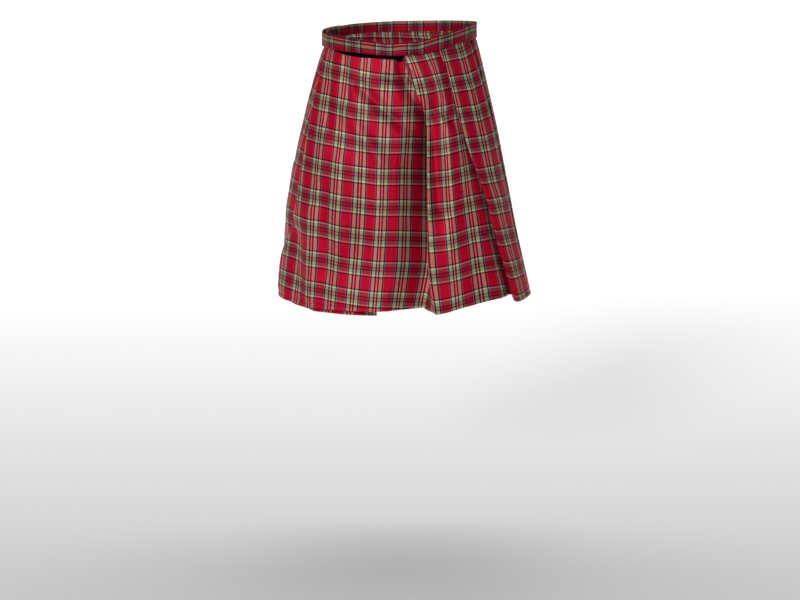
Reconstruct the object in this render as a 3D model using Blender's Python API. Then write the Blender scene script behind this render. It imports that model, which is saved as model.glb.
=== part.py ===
"""A tartan wrap kilt in the hollow form it has when it is worn. Metres, +Z up, the front faces -Y.

The wearer's left is +X. One length of cloth runs round the body and laps on itself: from the
over-apron's free edge at the right back, across the front, round the left hip, over the pleated seat
and in under the over-apron to the under-apron's free edge. Each level of the skirt is one path along
a plain outline, where s is the distance along the outline from the centre front and n the distance
out from it. A pleat is an S in that path: the cloth runs under the pleat's edge, turns back at an
inner fold, and turns forward again at the edge.
"""

import math

import bmesh
import bpy
import numpy as np

# Cloth, and how closely its layers are pressed
CLOTH = 0.0011
LAYER_PITCH = 0.0017
PRESSED_DEPTH = 2 * LAYER_PITCH
SEAM_GAP = 0.0004

# Waistband: a strip folded double. Its edges, as (degrees round from the centre front, height), are
# highest at the wearer's left and dip at the front. The skirt runs up SEAM_LAP inside it.
BAND_TOP = (
    (-180, 0.0225), (-90, 0.0105), (-52, 0.005), (-25, -0.002), (-9, -0.0067), (-4, -0.0083), (0, -0.0052),
    (11, -0.0045), (23, 0.005), (36, 0.0125), (50, 0.020), (66, 0.026), (90, 0.028), (180, 0.0225),
)
BAND_BOTTOM = (
    (-180, -0.0065), (-90, -0.0175), (-54, -0.0213), (-27, -0.0264), (-12, -0.0298), (-1, -0.031),
    (5, -0.0286), (16, -0.028), (24, -0.0233), (32, -0.0188), (40, -0.0115), (55, -0.0055),
    (90, -0.001), (180, -0.0065),
)
BAND_WALL = 0.0024
BAND_OUT = 0.0021
SEAM_LAP = 0.008

# Hem, as (degrees round from the centre front, height): it rides up before the left front pleat. The
# under-apron is a little longer than the cloth over it, once past its first third.
HEM = (
    (-180, -0.520), (-85, -0.517), (-65, -0.5175), (-51, -0.5235), (-28, -0.5255), (-8, -0.5285),
    (5, -0.524), (12, -0.5235), (20, -0.5199), (28, -0.5117), (42, -0.504), (56, -0.5045),
    (90, -0.5185), (180, -0.520),
)
UNDER_APRON_DROP = 0.012
UNDER_APRON_DROP_SHARE = 1 / 3

# The skirt's plain outline, as (level, size) from the waist seam at 0 to the hem at 1
HALF_WIDTH = (
    (0.0, 0.151), (0.06, 0.162), (0.2, 0.180), (0.35, 0.1975), (0.55, 0.2165), (0.75, 0.234), (1.0, 0.2535),
)
CENTRE_X = ((0.0, -0.001), (0.06, -0.0025), (0.2, -0.004), (0.5, -0.004), (0.75, -0.003), (1.0, 0.0055))
FRONT_DEPTH = ((0.0, 0.114), (0.15, 0.126), (0.35, 0.139), (0.55, 0.150), (0.75, 0.160), (1.0, 0.169))
BACK_DEPTH = ((0.0, 0.114), (0.15, 0.136), (0.35, 0.154), (0.55, 0.163), (0.75, 0.170), (1.0, 0.176))
SQUARENESS = ((0.0, 2.3), (0.3, 2.7), (1.0, 2.8))

# Front and hip pleats. edge_x is where the edge lies across the front, or edge_degrees where it lies
# round the waist, tuck how far the inner fold lies beyond the edge, or before it once the pleat has
# opened, depth the step from edge to inner fold, lift how far the edge stands out, run the width over
# which the cloth sinks towards the pleat, and drop how much lower the edge hangs at the hem than the
# cloth DROP_WIDTH away. The drop comes in near the hem, by a power of the level.
RIGHT_HIP_PLEAT = {
    "edge_degrees": (
        (0.0, -72.6), (0.09, -64.3), (0.34, -59.6), (0.51, -60.1), (0.62, -60.5), (0.70, -66.0), (0.78, -78.0),
        (1.0, -88.0),
    ),
    "tuck": ((0.0, 0.020), (0.2, 0.010), (0.45, 0.008), (0.63, -0.004), (1.0, -0.024)),
    "depth": ((0.0, PRESSED_DEPTH), (0.2, 0.008), (0.45, 0.014), (0.63, 0.016), (1.0, 0.012)),
    "lift": ((0.0, 0.0), (0.45, 0.007), (0.62, 0.004), (0.75, -0.003), (1.0, -0.002)),
    "run": 0.06,
    "drop": 0.0,
}
CENTRE_PLEAT = {
    "edge_x": ((0.0, 0.005), (0.11, 0.0205), (0.155, 0.030), (0.24, 0.0525), (0.85, 0.0547), (1.0, 0.066)),
    "tuck": ((0.0, 0.036), (0.27, 0.018), (0.6, 0.012), (0.8, 0.002), (1.0, -0.024)),
    "depth": ((0.0, PRESSED_DEPTH), (0.27, 0.010), (0.6, 0.017), (0.85, 0.025), (1.0, 0.028)),
    "lift": ((0.0, 0.0), (0.3, 0.004), (1.0, 0.006)),
    "run": 0.07,
    "drop": 0.008,
}
LEFT_FRONT_PLEAT = {
    "edge_x": (
        (0.0, 0.077), (0.1, 0.0945), (0.22, 0.107), (0.41, 0.1335), (0.61, 0.169), (0.77, 0.188), (1.0, 0.2245),
    ),
    "tuck": ((0.0, 0.034), (0.5, 0.030), (1.0, 0.022)),
    "depth": ((0.0, PRESSED_DEPTH), (0.5, 0.006), (1.0, 0.010)),
    "lift": ((0.0, 0.0), (1.0, 0.003)),
    "run": 0.045,
    "drop": 0.0115,
}
LEFT_HIP_PLEAT = {
    "edge_degrees": ((0.0, 68.0), (0.2, 74.0), (0.5, 78.0), (1.0, 84.0)),
    "tuck": ((0.0, 0.032), (0.5, 0.028), (1.0, 0.020)),
    "depth": ((0.0, PRESSED_DEPTH), (0.5, 0.007), (1.0, 0.012)),
    "lift": ((0.0, 0.0), (0.5, 0.002), (1.0, 0.006)),
    "run": 0.03,
    "drop": 0.0,
}
FRONT_PLEATS = (RIGHT_HIP_PLEAT, CENTRE_PLEAT, LEFT_FRONT_PLEAT, LEFT_HIP_PLEAT)
DROP_WIDTH = 0.06
DROP_POWER = 6

# Pleats round the back, spaced a little unevenly. Each holds the same width of cloth, so it opens as
# the skirt widens.
BACK_PLEATS = 7
BACK_PLEAT_CLOTH = 0.114
BACK_PLEAT_UNEVENNESS = 0.05
BACK_PLEAT_HEM_DEPTH = 0.014
BACK_PLEAT_DEPTH_POWER = 2
BACK_PLEAT_LIFT = 0.003

# Where the wrap begins and ends, and how deep the inner layers lie under the outer ones. The cloth
# reaches the under-apron's depth LAP_CLEARANCE before it passes under the over-apron's free edge.
OVER_APRON_EDGE_TURN = math.radians(-125)
OVER_APRON_EDGE_SINK = 0.0025
UNDER_APRON_EDGE_X = -0.047
UNDER_APRON_SINK = ((0.0, 0.008), (0.5, 0.020), (1.0, 0.026))
LAP_CLEARANCE = 0.016
STRAP_PROJECTION = 0.012

# Hook-and-loop tape in the slit between the slack waistband and the over-apron's front. The tapes
# reach up behind the waistband, and the slit opens over a ramp from its first end.
TAPE_FROM_X = -0.128
TAPE_TO_X = 0.008
TAPE_REACH_UP = 0.013
LOOP_TAPE_WALL = 0.0012
LOOP_TAPE_OUT = 0.0015
HOOK_TAPE_WALL = 0.0010
HOOK_TAPE_OUT = 0.0030
SLACK_BAND_OUT = 0.0050
SLIT_START_HEIGHT = 0.001
SLIT_HEIGHT = 0.0075
SLIT_RAMP = 0.035

# How finely the forms are divided. A pleat's turns have TURN_SHARE of its depth as their radius, and
# the cloth runs flat for at least LEAST_SHOULDER next to each.
OUTLINE_STEPS = 720
SKIRT_LEVELS = (1.0, 0.94, 0.85, 0.72, 0.58, 0.44, 0.30, 0.18, 0.08, 0.0)
TURN_STEPS = 3
TURN_SHARE = 0.245
LAP_STEPS = 3
LEAST_SHOULDER = 0.008
SIDE_STEPS = 5
APRON_STEPS = 9
FRONT_STEPS = 4
BACK_STEPS = 3
UNDER_STEPS = 16
BAND_STEPS = 96
BAND_LAP_STEPS = 34
TAPE_STEPS = 18

TARTAN_RED = (0.42, 0.01, 0.03, 1.0)
BAND_RED = (0.30, 0.02, 0.03, 1.0)
TAPE_BLACK = (0.012, 0.012, 0.014, 1.0)


def at(points, place):
    """A size at a level, or at degrees round, from its short list of (place, size)."""
    places, sizes = zip(*points)
    return float(np.interp(place, places, sizes))


def ease(value):
    """A smooth step from 0 to 1."""
    value = min(1.0, max(0.0, value))
    return value * value * (3 - 2 * value)


class Outline:
    """The skirt's plain outline at one level, measured along its length from the centre front."""

    def __init__(self, level):
        power = 2 / at(SQUARENESS, level)
        self.turn = np.linspace(-math.pi, math.pi, OUTLINE_STEPS + 1)
        across, along = np.sin(self.turn), np.cos(self.turn)
        depth = np.where(along > 0, at(FRONT_DEPTH, level), at(BACK_DEPTH, level))
        self.x = at(CENTRE_X, level) + at(HALF_WIDTH, level) * np.sign(across) * np.abs(across) ** power
        self.y = -depth * np.sign(along) * np.abs(along) ** power
        lengths = np.hypot(np.diff(self.x), np.diff(self.y))
        travelled = np.concatenate(((0.0,), np.cumsum(lengths)))
        self.length = float(travelled[-1])
        self.s = travelled - travelled[OUTLINE_STEPS // 2]

    def s_at_x(self, x):
        """Distance along the front at which the outline is at x."""
        front = np.abs(self.turn) <= math.pi / 2
        return float(np.interp(x, self.x[front], self.s[front]))

    def s_at_turn(self, turn):
        return float(np.interp(turn, self.turn, self.s))

    def turn_at(self, s):
        return float(np.interp(self.wrapped(s), self.s, self.turn))

    def wrapped(self, s):
        return (s - self.s[0]) % self.length + self.s[0]

    def place(self, s, n):
        """The xy point at s, moved out by n along the outline's normal."""
        step = self.length / OUTLINE_STEPS
        here, before, after = self.wrapped(s), self.wrapped(s - step), self.wrapped(s + step)
        tangent_x = np.interp(after, self.s, self.x) - np.interp(before, self.s, self.x)
        tangent_y = np.interp(after, self.s, self.y) - np.interp(before, self.s, self.y)
        size = math.hypot(tangent_x, tangent_y)
        x = np.interp(here, self.s, self.x) + n * tangent_y / size
        y = np.interp(here, self.s, self.y) - n * tangent_x / size
        return float(x), float(y)


def band_top(turn):
    return at(BAND_TOP, math.degrees(turn))


def band_bottom(turn):
    return at(BAND_BOTTOM, math.degrees(turn))


def hem_height(turn):
    return at(HEM, math.degrees(turn))


def edge_at(pleat, outline, level):
    """Where a front or hip pleat's edge lies along the outline."""
    if "edge_x" in pleat:
        return outline.s_at_x(at(pleat["edge_x"], level))
    return outline.s_at_turn(math.radians(at(pleat["edge_degrees"], level)))


def pleat_at(pleat, outline, level):
    """A front or hip pleat's sizes at one level."""
    return {
        "edge": edge_at(pleat, outline, level),
        "tuck": at(pleat["tuck"], level),
        "depth": at(pleat["depth"], level),
        "lift": at(pleat["lift"], level),
        "run": pleat["run"],
        "drop": pleat["drop"],
    }


def back_pleats_at(outline, level, first_edge):
    """The pleats between the left hip pleat and the over-apron's free edge, at one level."""
    last_edge = outline.s_at_turn(OVER_APRON_EDGE_TURN) + outline.length - 2 * LAP_CLEARANCE
    spacing = (last_edge - first_edge) / (BACK_PLEATS + 1)
    depth = PRESSED_DEPTH + (BACK_PLEAT_HEM_DEPTH - PRESSED_DEPTH) * level ** BACK_PLEAT_DEPTH_POWER
    hidden = (BACK_PLEAT_CLOTH - spacing) / 2
    pleats = []
    for number in range(1, BACK_PLEATS + 1):
        place = number + BACK_PLEAT_UNEVENNESS * math.sin(2.0 * number)
        pleats.append({
            "edge": first_edge + place * spacing,
            "tuck": math.sqrt(hidden ** 2 - depth ** 2),
            "depth": depth,
            "lift": BACK_PLEAT_LIFT * level,
            "run": spacing,
            "drop": 0.0,
        })
    return pleats


def pleat_points(pleat):
    """A pleat's hidden S as (s, n, drop), from its inner fold to its edge, and its middle index."""
    radius = TURN_SHARE * pleat["depth"]
    inner_s, inner_n = pleat["edge"] + pleat["tuck"], pleat["lift"] - pleat["depth"] + radius
    outer_s, outer_n = pleat["edge"] + radius, pleat["lift"] - radius
    reach = math.hypot(outer_s - inner_s, outer_n - inner_n)
    heading = math.atan2(outer_n - inner_n, outer_s - inner_s) + math.asin(min(1.0, 2 * radius / reach))
    inner_turn = []
    outer_turn = []
    for step in range(TURN_STEPS + 1):
        angle = heading * step / TURN_STEPS
        inner_turn.append((inner_s + radius * math.sin(angle), inner_n - radius * math.cos(angle)))
        outer_turn.append((outer_s - radius * math.sin(angle), outer_n + radius * math.cos(angle)))
    outer_turn.reverse()
    (s0, n0), (s1, n1) = inner_turn[-1], outer_turn[0]
    middle = [(s0 + (s1 - s0) * k / LAP_STEPS, n0 + (n1 - n0) * k / LAP_STEPS) for k in range(1, LAP_STEPS)]
    points = inner_turn + middle + outer_turn
    last = len(points) - 1
    return [(s, n, pleat["drop"] * k / last) for k, (s, n) in enumerate(points)]


def panel_points(start, end, free_steps):
    """Points strictly between one pleat's edge and the next pleat's inner fold, as (s, n, drop).

    The cloth lies flat over its own pleat, sinks over the next pleat's run, and lies flat under
    that pleat. Each lap is divided where the layers over and under it are."""
    start_radius = TURN_SHARE * start["depth"]
    first_s = start["edge"] + start_radius
    cover_s = first_s + max(start["tuck"] - start_radius, LEAST_SHOULDER)
    last_s = end["edge"] + end["tuck"]
    under_s = min(end["edge"] + TURN_SHARE * end["depth"], last_s - LEAST_SHOULDER)
    sink_s = max(cover_s, under_s - end["run"])
    high, low = start["lift"], end["lift"] - end["depth"]
    stations = [first_s + (cover_s - first_s) * k / LAP_STEPS for k in range(1, LAP_STEPS)]
    stations += [cover_s + (under_s - cover_s) * k / free_steps for k in range(free_steps)]
    stations += [under_s + (last_s - under_s) * k / LAP_STEPS for k in range(LAP_STEPS)]
    points = []
    for s in stations:
        n = high + (low - high) * ease((s - sink_s) / (under_s - sink_s))
        points.append((s, n, start["drop"] * (1 - ease((s - first_s) / DROP_WIDTH))))
    return points


def skirt_path(level):
    """The whole path of the cloth at one level, and the index of a point inside each pleat."""
    outline = Outline(level)
    pleats = [pleat_at(pleat, outline, level) for pleat in FRONT_PLEATS]
    pleats += back_pleats_at(outline, level, pleats[-1]["edge"])
    free_edge = outline.s_at_turn(OVER_APRON_EDGE_TURN)
    sink = at(UNDER_APRON_SINK, level)
    start = {"edge": free_edge, "tuck": 0.0, "depth": 0.0, "lift": -OVER_APRON_EDGE_SINK, "drop": 0.0}
    lap = {"edge": free_edge + outline.length - LAP_CLEARANCE, "tuck": 0.0, "depth": sink, "lift": 0.0}
    lap["run"] = lap["edge"] - pleats[-1]["edge"]
    free_steps = [SIDE_STEPS, APRON_STEPS, FRONT_STEPS] + [BACK_STEPS] * (BACK_PLEATS + 2)
    points = [(free_edge, -OVER_APRON_EDGE_SINK, 0.0)]
    pleat_middles = []
    for number, pleat in enumerate(pleats):
        before = start if number == 0 else pleats[number - 1]
        points += panel_points(before, pleat, free_steps[number])
        pleat_middles.append(len(points) + TURN_STEPS + 1)
        points += pleat_points(pleat)
    points += panel_points(pleats[-1], lap, free_steps[-1])
    lap_s = lap["edge"]
    end_s = outline.s_at_x(UNDER_APRON_EDGE_X) + outline.length
    for k in range(UNDER_STEPS + 1):
        share = k / UNDER_STEPS
        drop = UNDER_APRON_DROP * ease(share / UNDER_APRON_DROP_SHARE)
        points.append((lap_s + (end_s - lap_s) * share, -sink, drop))
    return outline, points, pleat_middles


def skirt_ring(level):
    """The cloth's path at one level as xyz points."""
    outline, points, _ = skirt_path(level)
    ring = []
    for s, n, drop in points:
        turn = outline.turn_at(s)
        top = band_bottom(turn)
        x, y = outline.place(s, n)
        ring.append((x, y, top + (hem_height(turn) - top) * level - drop * level ** DROP_POWER))
    return ring


def raised(row, height):
    return [(x, y, z + height) for x, y, z in row]


def shortened(row, at_start, at_end):
    """A row of points with half a seam's gap taken off the ends that are sewn to a neighbour."""
    row = [np.array(point) for point in row]
    if at_start:
        row[0] = row[0] + (row[1] - row[0]) * (SEAM_GAP / 2) / np.linalg.norm(row[1] - row[0])
    if at_end:
        row[-1] = row[-1] + (row[-2] - row[-1]) * (SEAM_GAP / 2) / np.linalg.norm(row[-2] - row[-1])
    return row


def cloth_material(name, colour, roughness):
    material = bpy.data.materials.new(name)
    material.use_nodes = True
    shader = material.node_tree.nodes["Principled BSDF"]
    shader.inputs["Base Color"].default_value = colour
    shader.inputs["Roughness"].default_value = roughness
    shader.inputs["Metallic"].default_value = 0.0
    return material


def cloth_piece(name, rows, wall, material):
    """A wall of cloth through rows of points, the lowest row first, running towards the wearer's left."""
    bm = bmesh.new()
    bmesh.ops.create_grid(bm, x_segments=len(rows[0]) - 1, y_segments=len(rows) - 1, size=1.0)
    bm.verts.ensure_lookup_table()
    places = [point for row in rows for point in row]
    for vertex, place in zip(bm.verts, places):
        vertex.co = place
    mesh = bpy.data.meshes.new(name)
    bm.to_mesh(mesh)
    bm.free()
    mesh.shade_smooth()
    mesh.materials.append(material)
    piece = bpy.data.objects.new(name, mesh)
    bpy.context.scene.collection.objects.link(piece)
    solidify = piece.modifiers.new("wall", "SOLIDIFY")
    solidify.thickness = wall
    solidify.offset = 0.0
    return piece


def build_skirt():
    """The skirt's panels, cut apart at seams that lie inside pleats."""
    rings = [skirt_ring(level) for level in SKIRT_LEVELS]
    rings.append(raised(rings[-1], SEAM_LAP))
    _, points, middles = skirt_path(0.0)
    last = len(points) - 1
    under_apron_start = last - UNDER_STEPS
    seams = (0, middles[1], middles[2], middles[5], middles[8], under_apron_start, last)
    names = ("over_apron", "front_panel", "left_panel", "back_panel", "right_back_panel", "under_apron")
    for number, name in enumerate(names):
        first, end = seams[number], seams[number + 1]
        rows = [shortened(ring[first:end + 1], number > 0, end < last) for ring in rings]
        cloth_piece(name, rows, CLOTH, cloth_material(name, TARTAN_RED, 0.6))


def build_waistband():
    """One strip round the waist, slack over the tape, whose inner end runs on over the under-apron."""
    outline = Outline(0.0)
    sink = at(UNDER_APRON_SINK, 0.0)
    pleats = back_pleats_at(outline, 0.0, edge_at(LEFT_HIP_PLEAT, outline, 0.0))
    sink_from = pleats[-1]["edge"] + pleats[-1]["tuck"]
    free_edge = outline.s_at_turn(OVER_APRON_EDGE_TURN)
    sink_to = free_edge + outline.length - LAP_CLEARANCE
    tape_from, tape_to = outline.s_at_x(TAPE_FROM_X), outline.s_at_x(TAPE_TO_X)
    start_s, end_s = free_edge - STRAP_PROJECTION, outline.s_at_x(UNDER_APRON_EDGE_X) + outline.length
    stations = [start_s + (sink_to - start_s) * k / BAND_STEPS for k in range(BAND_STEPS)]
    stations += [sink_to + (end_s - sink_to) * k / BAND_LAP_STEPS for k in range(BAND_LAP_STEPS + 1)]
    bottom, top = [], []
    for s in stations:
        turn = outline.turn_at(s)
        slack = ease((s - tape_from + SLIT_RAMP) / SLIT_RAMP) * ease((tape_to + SLIT_RAMP - s) / SLIT_RAMP)
        sunk = sink * ease((s - sink_from) / (sink_to - sink_from))
        n = BAND_OUT + (SLACK_BAND_OUT - BAND_OUT) * slack - sunk
        x, y = outline.place(s, n)
        bottom.append((x, y, band_bottom(turn)))
        top.append((x, y, band_top(turn)))
    cloth_piece("waistband", [bottom, top], BAND_WALL, cloth_material("waistband", BAND_RED, 0.6))


def tape_row(out, below):
    """Points of a tape, at a distance below the waistband's bottom edge that is given for each x."""
    waist = Outline(0.0)
    row = []
    for k in range(TAPE_STEPS + 1):
        x = TAPE_FROM_X + (TAPE_TO_X - TAPE_FROM_X) * k / TAPE_STEPS
        turn = waist.turn_at(waist.s_at_x(x))
        top = band_bottom(turn)
        level = max(0.0, below(x) / (top - hem_height(turn)))
        outline = Outline(level)
        place_x, place_y = outline.place(outline.s_at_x(x), out)
        row.append((place_x, place_y, top - below(x)))
    return row


def slit_height(x):
    """The over-apron has slipped down from the waistband, furthest at the centre front."""
    opening = ease((x - TAPE_FROM_X) / SLIT_RAMP)
    return SLIT_START_HEIGHT + (SLIT_HEIGHT - SLIT_START_HEIGHT) * opening


def build_tapes():
    """The loop tape lies on the over-apron and shows under the waistband; the hook tape is inside it."""
    edges = (slit_height, lambda x: 0.0, lambda x: -TAPE_REACH_UP)
    rows = [tape_row(LOOP_TAPE_OUT, below) for below in edges]
    cloth_piece("loop_tape", rows, LOOP_TAPE_WALL, cloth_material("loop_tape", TAPE_BLACK, 0.8))
    rows = [tape_row(HOOK_TAPE_OUT, below) for below in (lambda x: -CLOTH, lambda x: -TAPE_REACH_UP)]
    cloth_piece("hook_tape", rows, HOOK_TAPE_WALL, cloth_material("hook_tape", TAPE_BLACK, 0.8))


for old in list(bpy.data.objects):
    bpy.data.objects.remove(old, do_unlink=True)

build_skirt()
build_waistband()
build_tapes()
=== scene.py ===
import math

import bmesh
import bpy
import numpy as np
from mathutils import Matrix, Vector


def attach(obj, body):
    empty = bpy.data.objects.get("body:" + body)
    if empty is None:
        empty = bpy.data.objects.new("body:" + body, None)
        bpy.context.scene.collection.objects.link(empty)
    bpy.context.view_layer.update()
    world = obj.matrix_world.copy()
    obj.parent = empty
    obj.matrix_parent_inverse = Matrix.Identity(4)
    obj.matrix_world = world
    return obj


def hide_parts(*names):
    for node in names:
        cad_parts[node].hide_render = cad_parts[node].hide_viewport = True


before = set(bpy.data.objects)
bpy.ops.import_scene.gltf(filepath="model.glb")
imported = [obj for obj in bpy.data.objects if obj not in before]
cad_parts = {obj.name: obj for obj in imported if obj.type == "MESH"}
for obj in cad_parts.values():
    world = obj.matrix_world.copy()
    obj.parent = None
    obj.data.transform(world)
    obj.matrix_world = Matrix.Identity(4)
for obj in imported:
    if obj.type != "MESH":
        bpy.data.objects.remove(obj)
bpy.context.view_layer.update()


# ------------------------------------------------------------------------------------------------
# Tartan. Thin, faintly satiny polyester, yarn-dyed: coloured warp threads run down the kilt and
# coloured weft threads run round it, and where they cross the eye mixes the two.
# ------------------------------------------------------------------------------------------------

# One repeat of each set of threads, as (width in mm, colour as sRGB, cover). Cover is how much of
# the face a thread takes where two cross; the dark lines are doubled threads and hide the others.
WARP_STRIPES = (
    (8.0, (205, 0, 46), 0.50),
    (1.7, (148, 112, 140), 0.50),
    (1.9, (18, 8, 10), 0.66),
    (6.2, (206, 206, 160), 0.50),
    (2.0, (46, 16, 18), 0.55),
    (1.0, (184, 0, 40), 0.50),
    (2.4, (246, 190, 184), 0.50),
    (1.0, (184, 0, 40), 0.50),
    (2.0, (46, 16, 18), 0.55),
    (6.2, (206, 206, 160), 0.50),
    (1.9, (18, 8, 10), 0.66),
    (1.7, (148, 112, 140), 0.50),
    (8.0, (205, 0, 46), 0.50),
)
WEFT_STRIPES = (
    (0.5, (160, 60, 90), 0.50),
    (1.3, (170, 0, 36), 0.50),
    (2.8, (42, 0, 12), 0.57),
    (7.4, (101, 115, 86), 0.50),
    (2.8, (240, 212, 188), 0.50),
    (3.0, (8, 4, 6), 0.66),
    (25.4, (205, 0, 46), 0.50),
    (3.0, (8, 4, 6), 0.66),
    (2.8, (240, 212, 188), 0.50),
    (7.4, (101, 115, 86), 0.50),
    (2.8, (42, 0, 12), 0.57),
    (1.3, (170, 0, 36), 0.50),
    (0.5, (160, 60, 90), 0.50),
)
WARP_REPEAT = sum(width for width, _, _ in WARP_STRIPES) / 1000
WEFT_REPEAT = sum(width for width, _, _ in WEFT_STRIPES) / 1000
STRIPE_EDGE = 0.0004
WEFT_SHARE = 0.42
TWILL_PITCH = 0.0007
TWILL_CONTRAST = 0.10

# Uneven threads, as streaks to a metre across and along them, and packed cloth's small crumple, as
# ripples to a metre and as so many times a twill line's height
STREAKS_ACROSS, STREAKS_ALONG = 1000, 90
STREAK_CONTRAST = 0.75
CRUMPLES = 70.0
CRUMPLE_HEIGHT = 8.0
TWILL_LINE_HEIGHT = 0.00006


def linear(colour):
    """An sRGB colour of 0 to 255 as linear light."""
    shares = [channel / 255 for channel in colour]
    return [c / 12.92 if c <= 0.04045 else ((c + 0.055) / 1.055) ** 2.4 for c in shares]


def math_node(nodes, links, operation, first, second=None, third=None):
    """A Math node on up to three values, each a number or another node's output."""
    node = nodes.new("ShaderNodeMath")
    node.operation = operation
    for socket, value in zip(node.inputs, (first, second, third)):
        if value is None:
            continue
        if isinstance(value, (int, float)):
            socket.default_value = value
        else:
            links.new(value, socket)
    return node.outputs[0]


def stripe_ramp(nodes, links, place, stripes, repeat):
    """Thread colour and cover at a place along one repeat. Colours are kept as square roots of light."""
    share = math_node(nodes, links, "FRACT", math_node(nodes, links, "DIVIDE", place, repeat))
    ramp = nodes.new("ShaderNodeValToRGB")
    ramp.color_ramp.interpolation = "LINEAR"
    links.new(share, ramp.inputs[0])
    stops = []
    start = 0.0
    for width, colour, cover in stripes:
        end = start + width / 1000
        root = [math.sqrt(c) for c in linear(colour)] + [cover]
        stops.append(((start + STRIPE_EDGE / 2) / repeat, root))
        stops.append(((end - STRIPE_EDGE / 2) / repeat, root))
        start = end
    elements = ramp.color_ramp.elements
    elements[0].position, elements[0].color = stops[0]
    elements[1].position, elements[1].color = stops[-1]
    for position, colour in stops[1:-1]:
        elements.new(position).color = colour
    return ramp.outputs["Color"], ramp.outputs["Alpha"]


def tartan(name, painted_shade_scale=1.0):
    """The tartan on the Threads UV map, in metres: u across the warp threads, v down along them."""
    material = bpy.data.materials.new(name)
    material.use_nodes = True
    nodes, links = material.node_tree.nodes, material.node_tree.links
    shader = nodes["Principled BSDF"]
    uv = nodes.new("ShaderNodeUVMap")
    uv.uv_map = "Threads"
    split = nodes.new("ShaderNodeSeparateXYZ")
    links.new(uv.outputs["UV"], split.inputs[0])
    across, down = split.outputs["X"], split.outputs["Y"]

    warp, warp_cover = stripe_ramp(nodes, links, across, WARP_STRIPES, WARP_REPEAT)
    weft, weft_cover = stripe_ramp(nodes, links, down, WEFT_STRIPES, WEFT_REPEAT)
    diagonal = math_node(nodes, links, "ADD", across, down)
    phase = math_node(nodes, links, "MULTIPLY", diagonal, 2 * math.pi / TWILL_PITCH)
    twill = math_node(nodes, links, "SINE", phase)
    even_weave = math_node(nodes, links, "MULTIPLY_ADD", twill, TWILL_CONTRAST, WEFT_SHARE)
    uneven = math_node(nodes, links, "SUBTRACT", weft_cover, warp_cover)
    weave = math_node(nodes, links, "ADD", even_weave, uneven)
    cross = nodes.new("ShaderNodeMix")
    cross.data_type = "RGBA"
    links.new(weave, cross.inputs["Factor"])
    links.new(warp, cross.inputs["A"])
    links.new(weft, cross.inputs["B"])
    light = nodes.new("ShaderNodeVectorMath")
    light.operation = "MULTIPLY"
    links.new(cross.outputs["Result"], light.inputs[0])
    links.new(cross.outputs["Result"], light.inputs[1])

    # Threads are dyed and spun a little unevenly, each way
    streaks = []
    for scale in ((STREAKS_ACROSS, STREAKS_ALONG, 1), (STREAKS_ALONG, STREAKS_ACROSS, 1)):
        stretch = nodes.new("ShaderNodeMapping")
        stretch.inputs["Scale"].default_value = scale
        links.new(uv.outputs["UV"], stretch.inputs["Vector"])
        slub = nodes.new("ShaderNodeTexNoise")
        slub.inputs["Scale"].default_value = 1.0
        slub.inputs["Detail"].default_value = 2.0
        links.new(stretch.outputs[0], slub.inputs["Vector"])
        streaks.append(slub.outputs["Fac"])
    both = math_node(nodes, links, "ADD", streaks[0], streaks[1])
    # painted_shade_scale scales every colour down evenly; below 1 it makes a darker copy of the tartan as
    # painted shade
    contrast, least = STREAK_CONTRAST * painted_shade_scale, (1 - STREAK_CONTRAST) * painted_shade_scale
    shade = math_node(nodes, links, "MULTIPLY_ADD", both, contrast, least)
    tint = nodes.new("ShaderNodeVectorMath")
    tint.operation = "SCALE"
    links.new(light.outputs[0], tint.inputs[0])
    links.new(shade, tint.inputs["Scale"])
    links.new(tint.outputs[0], shader.inputs["Base Color"])

    # Twill lines, and the small crumple of thin cloth that has been packed flat
    crumple = nodes.new("ShaderNodeTexNoise")
    crumple.inputs["Scale"].default_value = CRUMPLES
    crumple.inputs["Detail"].default_value = 3.0
    links.new(uv.outputs["UV"], crumple.inputs["Vector"])
    height = math_node(nodes, links, "MULTIPLY_ADD", crumple.outputs["Fac"], CRUMPLE_HEIGHT, twill)
    bump = nodes.new("ShaderNodeBump")
    bump.inputs["Strength"].default_value = 0.35
    bump.inputs["Distance"].default_value = TWILL_LINE_HEIGHT
    links.new(height, bump.inputs["Height"])
    links.new(bump.outputs[0], shader.inputs["Normal"])

    # Filament polyester shines softly in its own threads' colours, most where it faces the light
    shader.inputs["Metallic"].default_value = 0.30
    shader.inputs["Roughness"].default_value = 0.50
    shader.inputs["Specular IOR Level"].default_value = 0.10
    return material


TARTAN = tartan("tartan_polyester")


# ------------------------------------------------------------------------------------------------
# Skirt. One length of tartan, sewn from widths whose seams lie inside pleats: over-apron, front,
# left, back and right back panels and under-apron. The pleats are pressed knife pleats, opening
# towards the hem, and the hem is turned up once inside.
# ------------------------------------------------------------------------------------------------

# The cloth, and how far apart two layers lie in a pressed pleat
SHELL = 0.0006
LAYER_PITCH = 0.0017
PRESSED_DEPTH = 2 * LAYER_PITCH

# The waist seam's height by degrees round from the centre front, highest at the wearer's left
BAND_BOTTOM = (
    (-180, -0.0065), (-90, -0.0175), (-54, -0.0213), (-27, -0.0264), (-12, -0.0298), (-1, -0.031),
    (5, -0.0286), (16, -0.028), (24, -0.0233), (32, -0.0188), (40, -0.0115), (55, -0.0055),
    (90, -0.001), (180, -0.0065),
)
SEAM_LAP = 0.008

# The hem, as (degrees round from the centre front, height). The under-apron hangs UNDER_APRON_DROP
# lower, from a third of the way along it. The turned-up layer lies HEM_FOLD inside the outer face.
HEM = (
    (-180, -0.520), (-85, -0.517), (-65, -0.5175), (-51, -0.5235), (-28, -0.5255), (-8, -0.5285),
    (5, -0.524), (12, -0.5235), (20, -0.5199), (28, -0.5117), (42, -0.504), (56, -0.5045),
    (90, -0.5185), (180, -0.520),
)
UNDER_APRON_DROP = 0.012
UNDER_APRON_DROP_PACE = 3
HEM_TURN_UP = 0.009
HEM_FOLD = 0.0011

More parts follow.
